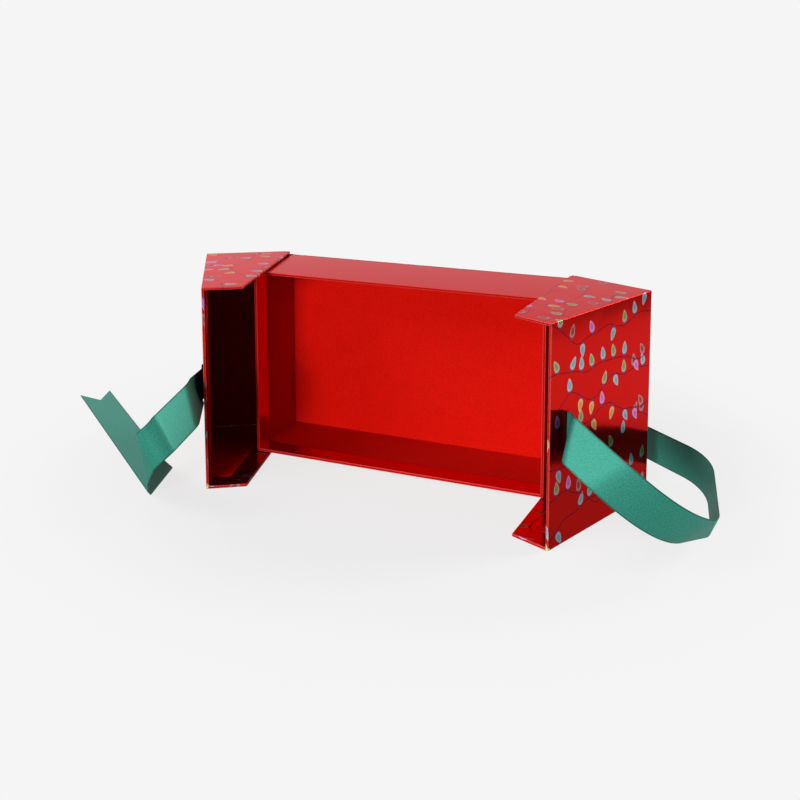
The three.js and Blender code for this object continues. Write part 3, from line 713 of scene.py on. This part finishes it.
def build_back_cover():
    """The back board in its printed paper, with rounded edges."""
    rounding = 0.4
    bm = bmesh.new()
    bmesh.ops.create_cube(bm, size=1)
    bm.transform(Matrix.Translation((0, -back_thickness / 2, 0)) @ Matrix.Diagonal(
        (tray_length, back_thickness, tray_height, 1)))
    rounded = bmesh.ops.bevel(bm, geom=bm.edges[:], offset=rounding, segments=3, profile=0.5,
                              affect="EDGES")["faces"]
    mark_wear_and_highlight(bm, rounded, creased)
    lay_flat(bm, lambda f, vert: (vert.co.x, vert.co.z - vert.co.y))
    mesh = finished_mesh(bm, "back_cover", Matrix.Identity(4))
    link_piece("back_cover", mesh, foil_print, "tray", "cover_paper", "back_panel")


# Ribbons
def bent_point(along, across, bends):
    """Where a point of the flat ribbon comes to after its bends, seen from its start. Each bend has a
    distance along the ribbon, the skew of its line, its angle and its radius. The last one is made
    first, and what lies past the bend's line rolls onto its cylinder and then goes straight on."""
    point = Vector((along, across, 0))
    for at, skew, turn, radius in reversed(bends):
        skew_angle, full = math.radians(skew), math.radians(abs(turn))
        way = math.copysign(1, turn)
        square = Vector((math.cos(skew_angle), math.sin(skew_angle), 0))
        ruling = Vector((-math.sin(skew_angle), math.cos(skew_angle), 0))
        past = (along - at) * square.x + across * square.y
        if past <= 0:
            continue
        start = Vector((at, 0, 0))
        offset = point - start
        angle = min(past / radius, full)
        onward = offset.dot(square) - radius * angle
        height = offset.z
        reach = radius * math.sin(angle) + onward * math.cos(angle) - way * height * math.sin(angle)
        drop = radius * (1 - math.cos(angle)) + onward * math.sin(angle)
        point = start + square * reach + ruling * offset.dot(ruling)
        point.z = way * drop + height * math.cos(angle)
    return point


def ribbon_frame(origin, yaw, roll):
    """The frame of a ribbon's start, whose length runs at the yaw and whose width is tipped by the roll."""
    y, r = math.radians(yaw), math.radians(roll)
    ahead = Vector((math.cos(y), math.sin(y), 0))
    level = Vector((-math.sin(y), math.cos(y), 0))
    across = level * math.cos(r) + ahead.cross(level) * math.sin(r)
    columns = Matrix((ahead, across, ahead.cross(across))).transposed().to_4x4()
    return Matrix.Translation(origin) @ columns


def build_ribbon(side, name, degrees, length, outside):
    """One satin ribbon as a single strip: glued flat inside the lid, through the slit, then loose.
    The loose part is given by a function of the distances along and across the flat ribbon."""
    to_room = door_to_room(side, degrees)
    cloth, row_spacing, columns = 0.3, 1.1, 14
    # the middle of the glued end lies a cloth's thickness inside the lid, past the slit's run and a bend
    slit_run = door_board + cloth - ribbon_bend
    quarter = ribbon_bend * math.pi / 2

    def surface(along, across):
        if along <= 0:
            inside = -along
            angle = min(max((inside - slit_run) / ribbon_bend, 0), math.pi / 2)
            flat = max(inside - slit_run - quarter, 0)
            inwards = slit_at - ribbon_bend * (1 - math.cos(angle)) - flat
            deep = min(inside, slit_run) + ribbon_bend * math.sin(angle)
            return to_room @ Vector((inwards, depth - deep, across))
        straight = to_room @ Vector((slit_at, depth + along, across))
        return straight.lerp(outside(along, across), smooth_step(along, 0, ribbon_blend))

    def cloth_side(along, across):
        """From the cloth's middle to its surface, half its thickness off."""
        small = 0.05
        ahead = surface(along + small, across) - surface(along - small, across)
        beside = surface(along, across + small) - surface(along, across - small)
        return ahead.cross(beside).normalized() * cloth / 2

    rows = [-(slit_run + quarter + ribbon_tab)]
    rows += [-(slit_run + quarter * i / 5) for i in range(5, -1, -1)]
    steps = int(length / row_spacing)
    rows += [length * i / steps for i in range(steps + 1)]
    bm = bmesh.new()
    low, high = [], []
    flat_places = {}
    for row in rows:
        # near the end the rows take on the shape of the fishtail's cut, which the last one follows
        near_end = max(0, 1 - (length - row) / fishtail_reach)
        lines = ([], [])
        for j in range(columns + 1):
            across = ribbon_width * (j / columns - 0.5)
            along = row - fishtail * (1 - abs(across) * 2 / ribbon_width) * near_end
            middle, off = surface(along, across), cloth_side(along, across)
            for line, way in zip(lines, (-1, 1)):
                vert = bm.verts.new(middle + off * way)
                flat_places[vert] = (along, across)
                line.append(vert)
        low.append(lines[0])
        high.append(lines[1])
    fill_slab(bm, low, high)
    lay_flat(bm, lambda f, vert: flat_places[vert])
    mesh = finished_mesh(bm, f"{name}_satin_ribbon", Matrix.Identity(4))
    piece = link_piece(f"{name}_satin_ribbon", mesh, ribbon_satin, f"{name}_door", "satin", f"{name}_ribbon")


# Each bend has its distance along the ribbon, the skew of its line, its angle and its radius. The left
# ribbon is followed from its tail, which lies flat on the table, and the right one from its slit.
left_length, right_length = 393.0, 294.0
left_bends = [(203.1, 54.7, 86.8, 7.0), (255.2, -61.5, -49.5, 21.0), (294.1, -11.7, -116.9, 11.5),
              (344.7, -32.4, -36.5, 15.0), (375.9, 47.3, 28.2, 11.0)]
left_frame = ribbon_frame(Vector((-308.8, 0.9, floor_z + 0.4)), -39.6, 0)
right_bends = [(0.8, -8.5, 64.2, 1.8), (11.7, 29.9, -70.3, 5.4), (44.3, -20.2, -100.0, 41.8),
               (132.5, 48.9, -53.6, 9.0), (191.2, 13.3, -45.7, 51.8)]
right_frame = door_to_room(1, right_open) @ ribbon_frame(Vector((slit_at, depth, 0)), 90, 90)


def left_outside(along, across):
    return left_frame @ bent_point(left_length - along, across, left_bends)


def right_outside(along, across):
    return right_frame @ bent_point(along, across, right_bends)


for side, name, degrees in ((-1, "left", left_open), (1, "right", right_open)):
    build_door_shell(side, name, degrees)
    build_lid_lining(side, name, degrees)
    build_hinge_paper(side, name, degrees)
build_tray_cover()
build_back_cover()
build_ribbon(-1, "left", left_open, left_length, left_outside)
build_ribbon(1, "right", right_open, right_length, right_outside)

# The solid model's own pieces that stay get their materials here
for node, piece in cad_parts.items():
    kept = lining if "lining" in node else board_grey if node.startswith("tray_") else foil_red
    for slot in piece.material_slots:
        slot.material = kept


# Floor, world and lamps
def backdrop_paper():
    """Plain matt backdrop paper: near white where seen, with a soft shadow under the object. Its front
    throws little light back into the box, as in a studio lit from behind and with one lamp in front:
    that dark front and a greyer ring near the box are painted shade, which the foil sees as a glowing painted
    reflection."""
    material, tree = new_material("backdrop_paper")
    rays = add(tree, "LightPath")
    place = add(tree, "TexCoord").outputs["Object"]
    from_middle = add(tree, "VectorMath", {0: place}, operation="LENGTH").outputs["Value"]
    # what the foil and the room see of it is painted: bright at the back, with painted shade greyer near
    # the box and far off at its right, and dark in front, where the foil alone sees a mid grey
    ahead = add(tree, "VectorMath", {0: place, 1: (-0.4, -1.0, 0.0)}, operation="DOT_PRODUCT")
    painted_dark_front = add(tree, "MapRange", {"Value": ahead.outputs["Value"], "From Min": 0.03, "From Max": 0.12},
                     interpolation_type="SMOOTHSTEP")
    side = add(tree, "VectorMath", {0: place, 1: (1.0, -0.2, 0.0)}, operation="DOT_PRODUCT")
    painted_dark_far_right = add(tree, "MapRange", {"Value": side.outputs["Value"], "From Min": 0.5, "From Max": 0.54},
                   interpolation_type="SMOOTHSTEP")
    painted_shadow_near_box = add(tree, "MapRange", {"Value": from_middle, "From Min": 0.36, "From Max": 0.2},
                interpolation_type="SMOOTHSTEP")
    near_part = add(tree, "Mix", {0: painted_shadow_near_box.outputs[0], 6: linear("#f8f8f8"), 7: linear("#b4b4b4")},
                    data_type="RGBA")
    back_part = add(tree, "Mix", {0: painted_dark_far_right.outputs[0], 6: near_part.outputs[2], 7: linear("#a2a2a2")},
                    data_type="RGBA")
    front_part = add(tree, "Mix", {0: rays.outputs["Is Glossy Ray"], 6: linear("#181818"),
                                   7: linear("#9a9a9a")}, data_type="RGBA")
    painted_room_tone = add(tree, "Mix", {0: painted_dark_front.outputs[0], 6: back_part.outputs[2], 7: front_part.outputs[2]},
                 data_type="RGBA")
    # what is seen of it: paper with the shadow on it near the box, which turns plain farther off
    tone = add(tree, "Mix", {0: rays.outputs["Is Camera Ray"], 6: painted_room_tone.outputs[2], 7: linear("#e9e9e9")},
               data_type="RGBA")
    matt = add(tree, "BsdfDiffuse", {"Color": tone.outputs[2]})
    # glossy rays see the backdrop glow in its painted tone, a painted reflection
    glow = add(tree, "Mix", {0: rays.outputs["Is Camera Ray"], 6: painted_room_tone.outputs[2], 7: linear("#f5f5f5")},
               data_type="RGBA")
    plain = add(tree, "Emission", {"Color": glow.outputs[2], "Strength": 1.0})
    far = add(tree, "MapRange", {"Value": from_middle, "From Min": 0.17, "From Max": 0.34,
                                 "To Min": 0.82, "To Max": 1.0}, interpolation_type="SMOOTHSTEP")
    seen = add(tree, "Math", {0: rays.outputs["Is Camera Ray"], 1: far.outputs[0]}, operation="MULTIPLY")
    glowing = add(tree, "Math", {0: seen.outputs[0], 1: rays.outputs["Is Glossy Ray"]}, operation="MAXIMUM")
    mixed = add(tree, "MixShader", {0: glowing.outputs[0], 1: matt.outputs[0], 2: plain.outputs[0]})
    add(tree, "OutputMaterial", {"Surface": mixed.outputs[0]})
    return material


def build_floor():
    """The backdrop, 6 m across, a hair under the corners that the doors stand on."""
    reach, below = 3, 0.1
    bm = bmesh.new()
    bmesh.ops.create_grid(bm, x_segments=2, y_segments=2, size=reach)
    mesh = bpy.data.meshes.new("floor")
    bm.to_mesh(mesh)
    bm.free()
    mesh.materials.append(backdrop_paper())
    floor = bpy.data.objects.new("floor", mesh)
    floor.location.z = (floor_z - below) * MM
    bpy.context.scene.collection.objects.link(floor)


def build_world():
    """The room: plain pale where it is seen, and what the box reflects and is lit by everywhere else."""
    world = bpy.data.worlds.new("studio")
    bpy.context.scene.world = world
    world.use_nodes = True
    tree = world.node_tree
    tree.nodes.clear()
    rays = add(tree, "LightPath")
    direction = add(tree, "TexCoord").outputs["Generated"]
    # the room in front, on the camera's side, is darker than the lit backdrop
    to_front = add(tree, "VectorMath", {0: direction, 1: (0.57, -0.82, -0.05)}, operation="DOT_PRODUCT")
    dark_side = add(tree, "MapRange", {"Value": to_front.outputs["Value"], "From Min": -0.25,
                                       "From Max": 0.35, "To Min": 0.86, "To Max": 0.03},
                    interpolation_type="SMOOTHSTEP")
    # and so is the ceiling above, while the backdrop is brightest at the left
    axes = add(tree, "SeparateXYZ", {0: direction})
    overhead = add(tree, "MapRange", {"Value": axes.outputs["Z"], "From Min": 0.42, "From Max": 0.8,
                                      "To Min": 1.0, "To Max": 0.12}, interpolation_type="SMOOTHSTEP")
    at_left = add(tree, "MapRange", {"Value": axes.outputs["X"], "From Min": -0.4, "From Max": -0.62,
                                     "To Min": 1.0, "To Max": 1.25}, interpolation_type="SMOOTHSTEP")
    falling = add(tree, "Math", {0: dark_side.outputs[0], 1: overhead.outputs[0]}, operation="MULTIPLY")
    level = add(tree, "Math", {0: falling.outputs[0], 1: at_left.outputs[0]}, operation="MULTIPLY")
    # the foil sees the dark parts of the room as a mid grey
    gloss = add(tree, "Math", {0: rays.outputs["Is Glossy Ray"], 1: 0.42}, operation="MULTIPLY")
    whole = add(tree, "Math", {0: level.outputs[0], 1: gloss.outputs[0]}, operation="MAXIMUM")
    backdrop = add(tree, "Background", {"Color": linear("#f5f5f5"), "Strength": 1.0})
    room = add(tree, "Background", {"Color": linear("#ffffff"), "Strength": whole.outputs[0]})
    shown = add(tree, "MixShader", {0: rays.outputs["Is Camera Ray"], 1: room.outputs[0],
                                    2: backdrop.outputs[0]})
    add(tree, "OutputWorld", {"Surface": shown.outputs[0]})


def build_lamp(name, spot, size, power, mirrored):
    """A rectangular lamp aimed at the tray, with its place and size in metres and its power in watts."""
    data = bpy.data.lights.new(name, "AREA")
    data.shape = "RECTANGLE"
    data.size, data.size_y = size
    data.energy = power
    lamp = bpy.data.objects.new(name, data)
    lamp.location = spot
    lamp.rotation_euler = (-Vector(spot)).to_track_quat("-Z", "Y").to_euler()
    bpy.context.scene.collection.objects.link(lamp)
    lamp.visible_camera = False
    lamp.visible_glossy = mirrored


build_floor()
build_world()
build_lamp("front_lamp", (-0.12, -2.3, 0.3), (0.5, 0.6), 57, False)
build_lamp("upper_left_lamp", (-1.3, -1.5, 1.4), (0.9, 0.9), 22, True)
build_lamp("back_right_lamp", (1.75, 1.05, 1.0), (0.8, 0.8), 34, True)

bpy.context.scene.view_settings.view_transform = "Standard"
